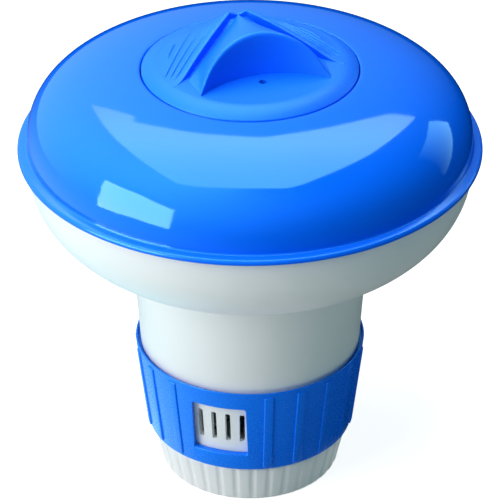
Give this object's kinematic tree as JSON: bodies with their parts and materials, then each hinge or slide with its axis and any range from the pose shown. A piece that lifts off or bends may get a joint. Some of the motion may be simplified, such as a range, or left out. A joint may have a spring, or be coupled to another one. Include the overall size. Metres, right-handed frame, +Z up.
{
  "type": "floating chlorine dispenser",
  "caption": "Floating pool dispenser for chlorine tablets: domed float with a screw lid and hood handle, bowl and neck, slotted basket with a turning flow ring, and a fluted foot.",
  "frame": {"origin": "middle of the foot's lower face, on the axis of the float", "axes": "+Z up along the axis of the float, -Y towards the finger scoop of the lid's handle"},
  "size_m": [0.19, 0.19, 0.2093],
  "materials": {
    "blue_shell": "glossy moulded",
    "blue_ring": "satin moulded",
    "white_shell": "satin moulded",
    "seal": "matte",
    "ballast": "coated"
  },
  "bodies": {
    "float": {"dome_shell": "blue_shell", "bowl_shell": "white_shell", "rim_gasket": "seal", "filler_sleeve": "white_shell", "sleeve_top_seal": "seal", "sleeve_foot_seal": "seal", "slot_basket": "white_shell", "tablet_grate": "white_shell", "ballast_disc": "ballast", "base_cap": "white_shell"},
    "flow_ring": {"flow_ring": "blue_ring"},
    "lid_seal": {"lid_seal": "seal"},
    "lid": {"lid": "blue_shell"}
  },
  "joints": [
    {"name": "lid_lift", "type": "slide", "parent": "float", "child": "lid_seal", "axis": [0, 0, 1], "range_m": [0, 0.008]},
    {"name": "lid_turn", "type": "hinge", "parent": "lid_seal", "child": "lid", "pos_m": [0, 0, 0.187], "axis": [0, 0, 1], "range_deg": [0, 240]},
    {"name": "ring_turn", "type": "hinge", "parent": "float", "child": "flow_ring", "pos_m": [0, 0, 0.0414], "axis": [0, 0, 1], "range_deg": [0, 60]}
  ],
  "couplings": [
    {"joint": "lid_lift", "follows": "lid_turn", "m_per_rad": 0.0019099}
  ]
}
